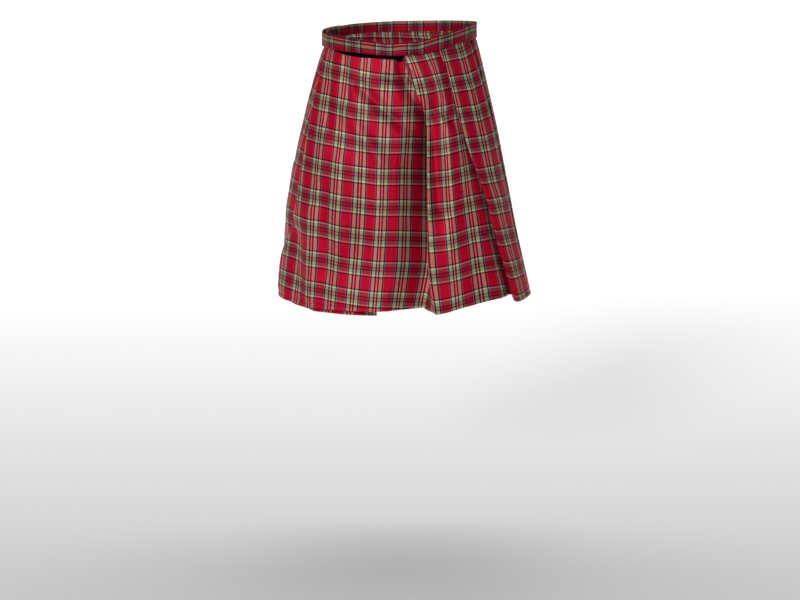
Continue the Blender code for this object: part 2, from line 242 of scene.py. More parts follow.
# The plain outline, as (level, size) from the waist seam at 0 to the hem at 1
HALF_WIDTH = (
    (0.0, 0.151), (0.06, 0.162), (0.2, 0.180), (0.35, 0.1975), (0.55, 0.2165), (0.75, 0.234), (1.0, 0.2535),
)
CENTRE_X = ((0.0, -0.001), (0.06, -0.0025), (0.2, -0.004), (0.5, -0.004), (0.75, -0.003), (1.0, 0.0055))
FRONT_DEPTH = ((0.0, 0.114), (0.15, 0.126), (0.35, 0.139), (0.55, 0.150), (0.75, 0.160), (1.0, 0.169))
BACK_DEPTH = ((0.0, 0.114), (0.15, 0.136), (0.35, 0.154), (0.55, 0.163), (0.75, 0.170), (1.0, 0.176))
SQUARENESS = ((0.0, 2.3), (0.3, 2.7), (1.0, 2.8))

# Front and hip pleats. edge_x is where the edge lies across the front, or edge_degrees where it lies
# round the waist, tuck how far the inner fold lies beyond the edge, or before it once the pleat has
# opened, depth the step from edge to inner fold, lift how far the edge stands out, run the width over
# which the cloth sinks towards the pleat, fall how late in that run it sinks, and drop how much lower
# the edge hangs at the hem than the cloth DROP_WIDTH away.
RIGHT_HIP_PLEAT = {
    "edge_degrees": (
        (0.0, -72.6), (0.09, -64.3), (0.34, -59.6), (0.51, -60.1), (0.62, -60.5), (0.70, -66.0),
        (0.78, -78.0), (1.0, -88.0),
    ),
    "tuck": ((0.0, 0.020), (0.2, 0.010), (0.45, 0.008), (0.63, -0.004), (1.0, -0.024)),
    "depth": ((0.0, PRESSED_DEPTH), (0.2, 0.010), (0.45, 0.018), (0.63, 0.018), (1.0, 0.012)),
    "lift": ((0.0, 0.0), (0.2, 0.004), (0.45, 0.007), (0.62, 0.004), (0.75, -0.003), (1.0, -0.002)),
    "run": ((0.0, 0.03), (0.3, 0.06)),
    "fall": 1.4,
    "drop": 0.0,
}
CENTRE_PLEAT = {
    "edge_x": ((0.0, 0.007), (0.11, 0.0225), (0.155, 0.032), (0.235, 0.053), (0.85, 0.0547), (1.0, 0.066)),
    "tuck": ((0.0, 0.036), (0.27, 0.020), (0.6, 0.014), (0.85, 0.008), (1.0, -0.020)),
    "depth": (
        (0.0, PRESSED_DEPTH), (0.1, 0.011), (0.2, 0.018), (0.3, 0.034), (0.42, 0.052), (0.85, 0.054),
        (1.0, 0.036),
    ),
    "lift": ((0.0, 0.0), (0.08, 0.005), (0.3, 0.006), (1.0, 0.006)),
    "run": ((0.0, 0.022), (0.3, 0.048), (0.42, 0.062)),
    "fall": 0.90,
    "drop": 0.008,
}
LEFT_FRONT_PLEAT = {
    "edge_x": (
        (0.0, 0.077), (0.1, 0.0945), (0.22, 0.107), (0.41, 0.1335), (0.61, 0.169), (0.77, 0.188),
        (1.0, 0.2245),
    ),
    "tuck": ((0.0, 0.034), (0.5, 0.030), (1.0, 0.022)),
    "depth": ((0.0, PRESSED_DEPTH), (0.2, 0.010), (0.5, 0.012), (0.75, 0.018), (1.0, 0.024)),
    "lift": ((0.0, 0.0), (0.1, 0.005), (0.5, 0.006), (1.0, 0.007)),
    "run": ((0.0, 0.018), (0.3, 0.026), (1.0, 0.044)),
    "fall": 1.5,
    "drop": 0.0115,
}
LEFT_HIP_PLEAT = {
    "edge_degrees": ((0.0, 68.0), (0.2, 74.0), (0.5, 78.0), (1.0, 84.0)),
    "tuck": ((0.0, 0.032), (0.5, 0.028), (1.0, 0.020)),
    "depth": ((0.0, PRESSED_DEPTH), (0.5, 0.007), (1.0, 0.012)),
    "lift": ((0.0, 0.0), (0.5, 0.002), (1.0, 0.006)),
    "run": ((0.0, 0.03),),
    "fall": 1.5,
    "drop": 0.0,
}
FRONT_PLEATS = (RIGHT_HIP_PLEAT, CENTRE_PLEAT, LEFT_FRONT_PLEAT, LEFT_HIP_PLEAT)
DROP_WIDTH = 0.06
DROP_POWER = 6

# Pleats round the back, each with the same width of cloth, so it opens as the skirt widens. Their
# spacing wanders a little, in waves of BACK_PLEAT_WANDER radians a pleat.
BACK_PLEATS = 7
BACK_PLEAT_CLOTH = 0.114
BACK_PLEAT_UNEVENNESS = 0.05
BACK_PLEAT_WANDER = 2.0
BACK_PLEAT_HEM_DEPTH = 0.014
BACK_PLEAT_DEPTH_POWER = 2
BACK_PLEAT_LIFT = 0.003
BACK_PLEAT_FALL = 1.5

# The widths of cloth, and the pleats that hide the four seams between the first five of them, counted
# from 0 at the wearer's right hip. The under-apron begins where the over-apron's free edge lies over it.
PANELS = ("over_apron", "front_panel", "left_panel", "back_panel", "right_back_panel", "under_apron")
SEAM_PLEATS = (1, 2, 5, 8)

# Where the wrap begins and ends, and how deep its inner layers lie under the outer ones. The cloth
# is at the under-apron's depth LAP_CLEARANCE before it passes under the over-apron's free edge.
OVER_APRON_EDGE_TURN = math.radians(-125)
OVER_APRON_EDGE_SINK = 0.0025
UNDER_APRON_EDGE_X = -0.047
UNDER_APRON_SINK = ((0.0, 0.008), (0.5, 0.020), (1.0, 0.026))
LAP_CLEARANCE = 0.016

# How finely the forms are divided, and how widely the corners of their tables are rounded off. A
# pleat's turns have TURN_SHARE of its depth as their radius, up to a largest one, and the cloth runs
# flat for at least LEAST_SHOULDER next to each. Its S has PLEAT_STEPS from inner fold to edge. The
# evenly spaced rows start at FIRST_ROW_OVER_HEM, above the hem's own.
OUTLINE_STEPS = 1440
NORMAL_STEPS = 360
LEVEL_ROWS = 130
FIRST_ROW_OVER_HEM = 4
LEVEL_SOFTNESS = 0.06
DEGREE_SOFTNESS = 6.0
BAND_DEGREE_SOFTNESS = 3.0
ROUNDING_SAMPLES = 13
TURN_STEPS = 6
LAP_STEPS = 8
PLEAT_STEPS = 2 * TURN_STEPS + LAP_STEPS
LEAST_SHOULDER = 0.008
TURN_SHARE = 0.245
LARGEST_FOLD_RADIUS = 0.0042
SIDE_STEPS, APRON_STEPS, FRONT_STEPS, HIP_STEPS, BACK_STEPS, UNDER_STEPS = 14, 44, 20, 14, 9, 60

# Where the threads run, charted. Each warp line is the middle of one crimson stripe on one of
# the front's panels, as (panel, stripe's number, ((level, x), ...)), and the stripes between are spaced
# evenly. Panel 0 ends at the centre pleat, 1 at the left front pleat and 2 at the left hip pleat.
WARP_LINES = (
    (0, 1, (
        (0.0, -0.121), (0.1, -0.1252), (0.28, -0.1329), (0.47, -0.1409), (0.66, -0.1509), (1.0, -0.162),
    )),
    (0, 3, (
        (0.0, -0.045), (0.13, -0.0506), (0.41, -0.0545), (0.6, -0.0566), (0.76, -0.0625), (1.0, -0.074),
    )),
    (0, 4, (
        (0.0, 0.001), (0.22, -0.0058), (0.41, -0.0117), (0.72, -0.0176), (0.84, -0.0215), (1.0, -0.028),
    )),
    (1, 7, (
        (0.0, 0.036), (0.07, 0.0535), (0.15, 0.0655), (0.24, 0.0715), (0.47, 0.0735), (0.7, 0.0785),
        (1.0, 0.091),
    )),
    (1, 8, (
        (0.0, 0.075), (0.2, 0.0955), (0.39, 0.1034), (0.48, 0.1074), (0.62, 0.1134), (0.76, 0.1214),
        (1.0, 0.134),
    )),
    (2, 11, (
        (0.0, 0.097), (0.215, 0.1228), (0.36, 0.1395), (0.51, 0.156), (0.65, 0.1725), (0.8, 0.194),
        (1.0, 0.221),
    )),
)

# The thread along the over-apron's free edge, as metres across the warp from the chart's zero
FREE_EDGE_THREAD = -0.258

# How many weft repeats lie above the waist seam's and the hem's threads, by degrees round
WEFT_AT_SEAM = (
    (-180, -0.81), (-120, -0.65), (-90, -0.56), (-62, -0.655), (-50, -0.69), (-35, -0.735), (-25, -0.80),
    (-4, -0.885), (5, -0.905), (20, -0.89), (30, -0.98), (45, -1.155), (90, -1.05), (180, -0.81),
)
WEFT_AT_HEM = (
    (-180, 7.20), (-120, 7.60), (-90, 7.74), (-60, 7.65), (-35, 7.60), (-15, 7.455), (-4, 7.35), (20, 7.22),
    (30, 7.25), (45, 7.13), (57, 7.06), (80, 6.97), (180, 7.20),
)

# How much lower the weft lies from each front and hip pleat on, as (at its edge, before the next pleat)
PANEL_SLANT = ((0.0, -0.002), (0.0075, -0.004), (0.009, -0.002), (0.0, 0.0))

# The soft folds of the hanging cloth, each from one place to another as (degrees round, level),
# with its half width and its depth in metres. A depth below zero stands out as a ridge.
SOFT_FOLDS = (
    ((-22, 0.12), (6, 0.31), 0.010, 0.0065),
    ((-28, 0.21), (-5, 0.40), 0.013, -0.0045),
    ((-6, 0.085), (4, 0.10), 0.006, 0.0075),
    ((-38, 0.03), (-27, 0.20), 0.007, 0.0040),
    ((-27, 0.42), (-21, 0.74), 0.020, -0.0065),
    ((-36, 0.52), (-30, 0.86), 0.012, 0.0040),
    ((-5, 0.42), (-5, 0.80), 0.015, -0.0030),
    ((-12, 0.37), (-11, 0.92), 0.010, 0.0025),
    ((-62, 0.74), (-52, 0.98), 0.024, 0.0130),
    ((14, 0.25), (14.5, 0.60), 0.020, 0.0150),
    ((17, 0.19), (28, 0.28), 0.010, 0.0080),
    ((21, 0.40), (19, 0.77), 0.013, -0.0045),
    ((46, 0.18), (60, 0.62), 0.009, -0.0035),
    ((29, 0.00), (28, 0.06), 0.0035, 0.0016),
    ((36, 0.00), (36, 0.07), 0.0035, 0.0014),
    ((2, 0.02), (8, 0.07), 0.005, 0.0025),
    ((-5, 0.88), (0, 0.96), 0.006, 0.0028),
    ((-28, 0.74), (-34, 0.99), 0.012, 0.0035),
    ((33, 0.55), (30, 0.98), 0.013, 0.0035),
    ((-44, 0.62), (-42, 0.97), 0.014, -0.0040),
    ((-40, 0.30), (-38, 0.55), 0.014, -0.0030),
    ((0, 0.04), (9, 0.22), 0.009, 0.0075),
    ((-50, 0.12), (-38, 0.30), 0.009, 0.0045),
    ((100, 0.10), (116, 0.30), 0.010, 0.0035),
    ((150, 0.45), (146, 0.88), 0.018, -0.0040),
    ((-166, 0.35), (-169, 0.92), 0.016, -0.0040),
    ((-140, 0.18), (-150, 0.42), 0.010, 0.0030),
    ((-105, 0.16), (-96, 0.50), 0.014, -0.0040),
    ((-92, 0.10), (-80, 0.34), 0.010, 0.0030),
    ((118, 0.52), (122, 0.97), 0.014, 0.0035),
    ((176, 0.10), (164, 0.28), 0.009, 0.0030),
    ((-116, 0.60), (-110, 0.98), 0.014, 0.0040),
    ((-86, 0.48), (-80, 0.95), 0.016, -0.0040),
)

# The folds fade out within SEAM_FADE of the waist seam, and where the cloth hangs back from the
# outline its threads sag by a share of that. The hem's stitching draws the cloth into a groove.
SKIRT_LENGTH = 0.5
SEAM_FADE = 0.02
FOLD_SAG = 0.20
HEM_GROOVE = 0.0016
HEM_GROOVE_HEIGHT = 0.0080
HEM_GROOVE_WIDTH = 0.0016


def at(points, place, softness=0.0):
    """A size at a place, from its short list of (place, size), with the corners rounded off."""
    places, sizes = zip(*points)
    reach = min(softness, place - places[0], places[-1] - place)
    if reach <= 0:
        return float(np.interp(place, places, sizes))
    around = np.linspace(place - reach, place + reach, ROUNDING_SAMPLES)
    return float(np.mean(np.interp(around, places, sizes)))


def at_level(points, level):
    """A size at a level, from its short list of (level, size)."""
    return at(points, level, LEVEL_SOFTNESS)


def ease(value):
    """A smooth step from 0 to 1."""
    value = np.clip(value, 0.0, 1.0)
    return value * value * (3 - 2 * value)


class Outline:
    """The skirt's plain outline at one level, measured along its length from the centre front."""

    def __init__(self, level):
        power = 2 / at_level(SQUARENESS, level)
        self.turn = np.linspace(-math.pi, math.pi, OUTLINE_STEPS + 1)
        across, along = np.sin(self.turn), np.cos(self.turn)
        depth = np.where(along > 0, at_level(FRONT_DEPTH, level), at_level(BACK_DEPTH, level))
        half_width = at_level(HALF_WIDTH, level)
        self.x = at_level(CENTRE_X, level) + half_width * np.sign(across) * np.abs(across) ** power
        self.y = -depth * np.sign(along) * np.abs(along) ** power
        lengths = np.hypot(np.diff(self.x), np.diff(self.y))
        travelled = np.concatenate(((0.0,), np.cumsum(lengths)))
        self.length = float(travelled[-1])
        self.s = travelled - travelled[OUTLINE_STEPS // 2]

    def s_at_x(self, x):
        """The distance along the front at which the outline is at x."""
        front = np.abs(self.turn) <= math.pi / 2
        return float(np.interp(x, self.x[front], self.s[front]))

    def s_at_turn(self, turn):
        return float(np.interp(turn, self.turn, self.s))

    def wrapped(self, s):
        """The same place within one turn of the outline."""
        return (s - self.s[0]) % self.length + self.s[0]

    def turn_at(self, s):
        return np.interp(self.wrapped(s), self.s, self.turn)

    def place(self, s, n):
        """The xy points at s, moved out by n along the outline's normal."""
        step = self.length / NORMAL_STEPS
        here, before, after = self.wrapped(s), self.wrapped(s - step), self.wrapped(s + step)
        tangent_x = np.interp(after, self.s, self.x) - np.interp(before, self.s, self.x)
        tangent_y = np.interp(after, self.s, self.y) - np.interp(before, self.s, self.y)
        size = np.hypot(tangent_x, tangent_y)
        x = np.interp(here, self.s, self.x) + n * tangent_y / size
        y = np.interp(here, self.s, self.y) - n * tangent_x / size
        return x, y


EVERY_HALF_DEGREE = np.linspace(-180, 180, 721)
rounded_off = {}


def by_degrees(points, turn, softness=DEGREE_SOFTNESS):
    """A size round the kilt, from its short list of (degrees, size)."""
    if (points, softness) not in rounded_off:
        rounded_off[points, softness] = [at(points, degrees, softness) for degrees in EVERY_HALF_DEGREE]
    return np.interp(np.degrees(turn), EVERY_HALF_DEGREE, rounded_off[points, softness])


def band_bottom(turn):
    """The height of the waistband's bottom edge, which is the waist seam's."""
    return by_degrees(BAND_BOTTOM, turn, softness=BAND_DEGREE_SOFTNESS)


def edge_at(pleat, outline, level):
    """Where a front or hip pleat's edge lies along the outline."""
    if "edge_x" in pleat:
        return outline.s_at_x(at_level(pleat["edge_x"], level))
    return outline.s_at_turn(math.radians(at_level(pleat["edge_degrees"], level)))


def pleat_at(pleat, outline, level):
    """A front or hip pleat's sizes at one level."""
    return {
        "edge": edge_at(pleat, outline, level),
        "tuck": at_level(pleat["tuck"], level),
        "depth": at_level(pleat["depth"], level),
        "lift": at_level(pleat["lift"], level),
        "run": at_level(pleat["run"], level),
        "fall": pleat["fall"],
        "drop": pleat["drop"],
    }


def back_pleats_at(outline, level, first_edge):
    """The pleats between the left hip pleat and the over-apron's free edge, at one level."""
    last_edge = outline.s_at_turn(OVER_APRON_EDGE_TURN) + outline.length - 2 * LAP_CLEARANCE
    spacing = (last_edge - first_edge) / (BACK_PLEATS + 1)
    depth = PRESSED_DEPTH + (BACK_PLEAT_HEM_DEPTH - PRESSED_DEPTH) * level ** BACK_PLEAT_DEPTH_POWER
    hidden = (BACK_PLEAT_CLOTH - spacing) / 2
    pleats = []
    for number in range(1, BACK_PLEATS + 1):
        place = number + BACK_PLEAT_UNEVENNESS * math.sin(BACK_PLEAT_WANDER * number)
        pleats.append({
            "edge": first_edge + place * spacing,
            "tuck": math.sqrt(hidden ** 2 - depth ** 2),
            "depth": depth,
            "lift": BACK_PLEAT_LIFT * level,
            "run": spacing,
            "fall": BACK_PLEAT_FALL,
            "drop": 0.0,
        })
    return pleats


def fold_radius(pleat):
    """How tightly the cloth turns at a pleat's edge and at its inner fold."""
    return min(TURN_SHARE * pleat["depth"], LARGEST_FOLD_RADIUS)


def pleat_points(pleat):
    """A pleat's hidden S as (s, n, drop), from its inner fold to its edge."""
    radius = fold_radius(pleat)
    inner_s, inner_n = pleat["edge"] + pleat["tuck"], pleat["lift"] - pleat["depth"] + radius
    outer_s, outer_n = pleat["edge"] + radius, pleat["lift"] - radius
    reach = math.hypot(outer_s - inner_s, outer_n - inner_n)
    heading = math.atan2(outer_n - inner_n, outer_s - inner_s) + math.asin(min(1.0, 2 * radius / reach))
    inner_turn = []
    outer_turn = []
    for step in range(TURN_STEPS + 1):
        angle = heading * step / TURN_STEPS
        inner_turn.append((inner_s + radius * math.sin(angle), inner_n - radius * math.cos(angle)))
        outer_turn.append((outer_s - radius * math.sin(angle), outer_n + radius * math.cos(angle)))
    outer_turn.reverse()
    (s0, n0), (s1, n1) = inner_turn[-1], outer_turn[0]
    middle = [(s0 + (s1 - s0) * k / LAP_STEPS, n0 + (n1 - n0) * k / LAP_STEPS) for k in range(1, LAP_STEPS)]
    points = inner_turn + middle + outer_turn
    last = len(points) - 1
    return [(s, n, pleat["drop"] * k / last) for k, (s, n) in enumerate(points)]


def panel_points(start, end, free_steps):
    """Points strictly between one pleat's edge and the next pleat's inner fold, as (s, n, drop)."""
    first_s = start["edge"] + fold_radius(start)
    cover_s = first_s + max(start["tuck"] - fold_radius(start), LEAST_SHOULDER)
    last_s = end["edge"] + end["tuck"]
    under_s = min(end["edge"] + fold_radius(end), last_s - LEAST_SHOULDER)
    sink_s = max(cover_s, under_s - end["run"])
    high, low = start["lift"], end["lift"] - end["depth"]
    stations = [first_s + (cover_s - first_s) * k / LAP_STEPS for k in range(1, LAP_STEPS)]
    stations += [cover_s + (under_s - cover_s) * k / free_steps for k in range(free_steps)]
    stations += [under_s + (last_s - under_s) * k / LAP_STEPS for k in range(LAP_STEPS)]
    points = []
    for s in stations:
        share = min(1.0, max(0.0, (s - sink_s) / (under_s - sink_s)))
        n = high + (low - high) * share ** end["fall"]
        points.append((s, n, start["drop"] * (1 - float(ease((s - first_s) / DROP_WIDTH)))))
    return points


def skirt_path(level):
    """The outline at one level, the cloth's whole path along it as (s, n, drop), and the numbers of
    the points at the seam that each pleat can hide and at each pleat's edge."""
    outline = Outline(level)
    pleats = [pleat_at(pleat, outline, level) for pleat in FRONT_PLEATS]
    pleats += back_pleats_at(outline, level, pleats[-1]["edge"])
    free_edge = outline.s_at_turn(OVER_APRON_EDGE_TURN)
    sink = at_level(UNDER_APRON_SINK, level)
    start = {"edge": free_edge, "tuck": 0.0, "depth": 0.0, "lift": -OVER_APRON_EDGE_SINK, "drop": 0.0}
    # past the last pleat the cloth sinks under the free edge over all the width that there is
    lap = {
        "edge": free_edge + outline.length - LAP_CLEARANCE, "tuck": 0.0, "depth": sink, "lift": 0.0,
        "run": outline.length, "fall": BACK_PLEAT_FALL,
    }
    free_steps = [SIDE_STEPS, APRON_STEPS, FRONT_STEPS, HIP_STEPS] + [BACK_STEPS] * (BACK_PLEATS + 1)
    points = [(free_edge, -OVER_APRON_EDGE_SINK, 0.0)]
    seam_places = []
    edges = []
    for number, pleat in enumerate(pleats):
        before = start if number == 0 else pleats[number - 1]
        points += panel_points(before, pleat, free_steps[number])
        seam_places.append(len(points) + TURN_STEPS + LAP_STEPS // 3)
        points += pleat_points(pleat)
        edges.append(len(points) - 1)
    points += panel_points(pleats[-1], lap, free_steps[-1])
    lap_s = lap["edge"]
    end_s = outline.s_at_x(UNDER_APRON_EDGE_X) + outline.length
    for k in range(UNDER_STEPS + 1):
        share = k / UNDER_STEPS
        drop = UNDER_APRON_DROP * float(ease(UNDER_APRON_DROP_PACE * share))
        points.append((lap_s + (end_s - lap_s) * share, -sink, drop))
    return outline, np.array(points), seam_places, edges


def warp_places(level, outline, s, arc, edges):
    """How far across the warp each point of the path lies, so that the charted lines run true."""
    # before the right hip pleat the threads run along the free edge
    hip_fold, hip_edge = edges[0] - PLEAT_STEPS, edges[0]
    known_arc = [0.0, arc[hip_fold], arc[hip_edge]]
    known_u = [FREE_EDGE_THREAD, FREE_EDGE_THREAD + arc[hip_fold], 0.0]
    for panel, stripe, line in WARP_LINES:
        target = outline.s_at_x(at(line, level, LEVEL_SOFTNESS))
        # what shows of a panel runs from one pleat's edge to the next inner fold
        shown = slice(edges[panel], edges[panel + 1] - PLEAT_STEPS)
        known_arc.append(float(np.interp(target, s[shown], arc[shown])))
        known_u.append(stripe * WARP_REPEAT)
    # from the hip pleat's edge to the first charted stripe the threads lie side by side
    known_u[2] = known_u[3] - (known_arc[3] - known_arc[2])
    u = np.interp(arc, known_arc, known_u)
    return np.where(arc > known_arc[-1], known_u[-1] + (arc - known_arc[-1]), u)


def slanted(arc, edges):
    """How much lower the weft lies along the path, on panels set into their pleats at a slant."""
    places, slants = [], []
    for number, (at_edge, before_next) in enumerate(PANEL_SLANT):
        places += [arc[edges[number]], arc[edges[number + 1] - PLEAT_STEPS]]
        slants += [at_edge, before_next]
    return np.interp(arc, places, slants)


halfway_down = Outline(0.5)


def sunk(turn, level):
    """How far in all the soft folds together take the cloth, by degrees round at one level."""
    along = np.interp(turn, halfway_down.turn, halfway_down.s)
    down = level * SKIRT_LENGTH
    depth_here = np.zeros_like(along)
    for first, last, width, depth in SOFT_FOLDS:
        start = halfway_down.s_at_turn(math.radians(first[0]))
        reach = halfway_down.s_at_turn(math.radians(last[0])) - start
        fall = (last[1] - first[1]) * SKIRT_LENGTH
        off = halfway_down.wrapped(along - start)
        below = down - first[1] * SKIRT_LENGTH
        share = np.clip((off * reach + below * fall) / (reach ** 2 + fall ** 2), 0.0, 1.0)
        distance = np.hypot(off - share * reach, below - share * fall)
        depth_here += depth * np.exp(-(distance / width) ** 2)
    off_groove = (1 - level) * SKIRT_LENGTH / HEM_GROOVE_WIDTH - HEM_GROOVE_HEIGHT / HEM_GROOVE_WIDTH
    groove = HEM_GROOVE * math.exp(-off_groove ** 2)
    return depth_here * ease(level / SEAM_FADE) + groove


def skirt_row(level, above=0.0, inside=0.0):
    """One row of the skirt, moved up by above and in by inside, and the threads that cross there."""
    outline, points, _, edges = skirt_path(level)
    s, n, drop = points.T
    turn = outline.turn_at(s)
    top = band_bottom(turn)
    x, y = outline.place(s, n)
    arc = np.concatenate(((0.0,), np.cumsum(np.hypot(np.diff(x), np.diff(y)))))
    u = warp_places(level, outline, s, arc, edges)
    x, y = outline.place(s, n - sunk(turn, level))
    step_x, step_y = np.gradient(x), np.gradient(y)
    step = np.hypot(step_x, step_y)
    x, y = x - inside * step_y / step, y + inside * step_x / step
    z = top + (by_degrees(HEM, turn) - top) * level - drop * level ** DROP_POWER + above
    at_seam, at_hem = by_degrees(WEFT_AT_SEAM, turn), by_degrees(WEFT_AT_HEM, turn)
    v = WEFT_REPEAT * (at_seam + (at_hem - at_seam) * level) - above + FOLD_SAG * np.minimum(n, 0.0)
    v -= slanted(arc, edges)
    return np.stack((x, y, z), axis=1), np.stack((u, v), axis=1)


def cloth_sheet(name, rows, threads, thickness):
    """A cloth through rows of points, the lowest first, with its threads as a UV map in metres."""
    bm = bmesh.new()
    bmesh.ops.create_grid(bm, x_segments=len(rows[0]) - 1, y_segments=len(rows) - 1, size=1.0)
    bm.verts.ensure_lookup_table()
    for vertex, place in zip(bm.verts, (point for row in rows for point in row)):
        vertex.co = place
    layer = bm.loops.layers.uv.new("Threads")
    uvs = [thread for row in threads for thread in row]
    for face in bm.faces:
        for loop in face.loops:
            loop[layer].uv = uvs[loop.vert.index]
    mesh = bpy.data.meshes.new(name)
    bm.to_mesh(mesh)
    bm.free()
    mesh.shade_smooth()
    piece = bpy.data.objects.new(name, mesh)
    bpy.context.scene.collection.objects.link(piece)
    wall = piece.modifiers.new("wall", "SOLIDIFY")
    wall.thickness = thickness
    wall.offset = 0.0
    return piece


def raised_level(height):
    """The level that lies a height above the hem."""
    return 1 - height / SKIRT_LENGTH


def laid_along(name, line, outward, length, gap, size):
    """A row of stitches along a line of points, each a small rounded bar standing out from it."""
    steps = np.linalg.norm(np.diff(line, axis=0), axis=1)
    travelled = np.concatenate(((0.0,), np.cumsum(steps)))
    bm = bmesh.new()
    for start in np.arange(gap, travelled[-1] - length, length + gap):
        first = Vector([float(np.interp(start, travelled, line[:, axis])) for axis in range(3)])
        last = Vector([float(np.interp(start + length, travelled, line[:, axis])) for axis in range(3)])
        halfway = start + length / 2
        out = Vector([float(np.interp(halfway, travelled, outward[:, axis])) for axis in range(3)])
        along = (last - first).normalized()
        up = out.cross(along).normalized()
        turn = Matrix((along, up, along.cross(up))).transposed().to_4x4()
        place = Matrix.Translation((first + last) / 2 + out.normalized() * size / 2)
        shape = Matrix.Diagonal((length, size, size, 1.0))
        bmesh.ops.create_icosphere(bm, subdivisions=1, radius=0.5, matrix=place @ turn @ shape)
    mesh = bpy.data.meshes.new(name)
    bm.to_mesh(mesh)
    bm.free()
    mesh.shade_smooth()
    piece = bpy.data.objects.new(name, mesh)
    bpy.context.scene.collection.objects.link(piece)
    return piece


def outward_of(line):
    """The directions that point out of the cloth along a level line of points."""
    step = np.gradient(line, axis=0)
    out = np.stack((step[:, 1], -step[:, 0], np.zeros(len(line))), axis=1)
    return out / np.linalg.norm(out, axis=1, keepdims=True)


# Sewing thread a little darker than the cloth, in short stitches half sunk into it
THREAD_RED = (0.16, 0.004, 0.012, 1.0)
STITCH_LENGTH = 0.0024
STITCH_GAP = 0.0008
STITCH_SIZE = 0.0005

# The hem's rows. First the turned-up layer from its cut edge down and round the fold, as (height above
# the hem, share of HEM_FOLD inside the outer face), then up the outer face, closer at the groove.
TURNED_HEM_ROWS = (
    (HEM_TURN_UP, 1.0), (HEM_TURN_UP / 2, 1.0), (0.0012, 1.0), (0.0003, 0.8), (0.0, 0.5), (0.0003, 0.2),
)
OUTER_HEM_ROWS = (0.0012, 0.0035, 0.0055, 0.0066, 0.0074, 0.0080, 0.0086, 0.0094, 0.0108, 0.0130)

thread = bpy.data.materials.new("sewing_thread")
thread.use_nodes = True
thread_shader = thread.node_tree.nodes["Principled BSDF"]
thread_shader.inputs["Base Color"].default_value = THREAD_RED
thread_shader.inputs["Roughness"].default_value = 0.6

skirt_rows = [skirt_row(raised_level(height), inside=share * HEM_FOLD) for height, share in TURNED_HEM_ROWS]
skirt_rows += [skirt_row(raised_level(height)) for height in OUTER_HEM_ROWS]
skirt_rows += [skirt_row(1 - row / LEVEL_ROWS) for row in range(FIRST_ROW_OVER_HEM, LEVEL_ROWS + 1)]
skirt_rows.append(skirt_row(0.0, above=SEAM_LAP))
_, all_points, seam_places, _ = skirt_path(0.0)
last_point = len(all_points) - 1
seams = [0] + [seam_places[pleat] for pleat in SEAM_PLEATS] + [last_point - UNDER_STEPS, last_point]
stitch_line = skirt_row(raised_level(HEM_GROOVE_HEIGHT))[0]
for number, node in enumerate(PANELS):
    first, end = seams[number], seams[number + 1]
    rows = [points[first:end + 1] for points, _ in skirt_rows]
    threads = [uv[first:end + 1] for _, uv in skirt_rows]
    panel = cloth_sheet("tartan_" + node, rows, threads, SHELL)
    panel.data.materials.append(TARTAN)
    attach(panel, "root")
    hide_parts(node)
    line = stitch_line[first:end + 1]
    stitches = laid_along(
        "hem_stitches_" + node, line, outward_of(line), STITCH_LENGTH, STITCH_GAP, STITCH_SIZE)
    stitches.data.materials.append(thread)
    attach(stitches, "root")


# ------------------------------------------------------------------------------------------------
# Waistband. One strip of the same tartan cut along its length, folded double and stitched along
# the top of the skirt; its loose inner end runs on over the top of the under-apron.
# ------------------------------------------------------------------------------------------------

BAND_TOP = (
    (-180, 0.0225), (-90, 0.0105), (-52, 0.005), (-25, -0.002), (-9, -0.0067), (-4, -0.0083), (0, -0.0052),
    (11, -0.0045), (23, 0.005), (36, 0.0125), (50, 0.020), (66, 0.026), (90, 0.028), (180, 0.0225),
)
BAND_WALL = 0.0024
BAND_OUT = 0.0021

# It stands off the over-apron where the tape is, over a ramp at each end of it, and its outer end
# runs on past the over-apron's free edge
SLACK_BAND_OUT = 0.0050
SLIT_RAMP = 0.035
TAPE_FROM_X = -0.128
TAPE_TO_X = 0.008
STRAP_PROJECTION = 0.012

# Its turned-in bottom edge, as (height, share of half the wall outward), and how far above the
# bottom edge the face and the back begin
BAND_EDGE_ROLL = ((0.0009, 0.2), (0.0002, 0.7))
BAND_FACE_START = 0.0008
BAND_BACK_START = 0.0005

# Its small ripples, which wander in length, the painted shade that scales all its tartan's colours down,
# and which of the tartan's threads lie on it
BAND_RIPPLE = 0.0005
BAND_RIPPLE_LENGTH = 0.047
RIPPLE_WANDER = 2.0
RIPPLE_WANDER_RATE = 9.0
BAND_PAINTED_SHADE_SCALE = 0.66
BAND_TOP_THREAD = 0.0192
BAND_THREAD_SHIFT = -0.031
BAND_STITCH_HEIGHT = 0.0022
BAND_STATIONS = 640
FACE_ROWS, FOLD_ROWS, BACK_ROWS = 12, 6, 4

waist = Outline(0.0)
waist_pleats = back_pleats_at(waist, 0.0, edge_at(LEFT_HIP_PLEAT, waist, 0.0))
sink_from = waist_pleats[-1]["edge"] + waist_pleats[-1]["tuck"]
free_edge = waist.s_at_turn(OVER_APRON_EDGE_TURN)
sink_to = free_edge + waist.length - LAP_CLEARANCE
waist_sink = UNDER_APRON_SINK[0][1]
tape_from, tape_to = waist.s_at_x(TAPE_FROM_X), waist.s_at_x(TAPE_TO_X)
inner_end = waist.s_at_x(UNDER_APRON_EDGE_X) + waist.length
band_s = np.linspace(free_edge - STRAP_PROJECTION, inner_end, BAND_STATIONS)
slack = ease((band_s - tape_from + SLIT_RAMP) / SLIT_RAMP)
slack = slack * ease((tape_to + SLIT_RAMP - band_s) / SLIT_RAMP)
band_n = BAND_OUT + (SLACK_BAND_OUT - BAND_OUT) * slack
band_n = band_n - waist_sink * ease((band_s - sink_from) / (sink_to - sink_from))
band_turn = waist.turn_at(band_s)
band_low = band_bottom(band_turn)
band_height = by_degrees(BAND_TOP, band_turn, softness=BAND_DEGREE_SOFTNESS) - band_low
half_wall = (BAND_WALL - SHELL) / 2

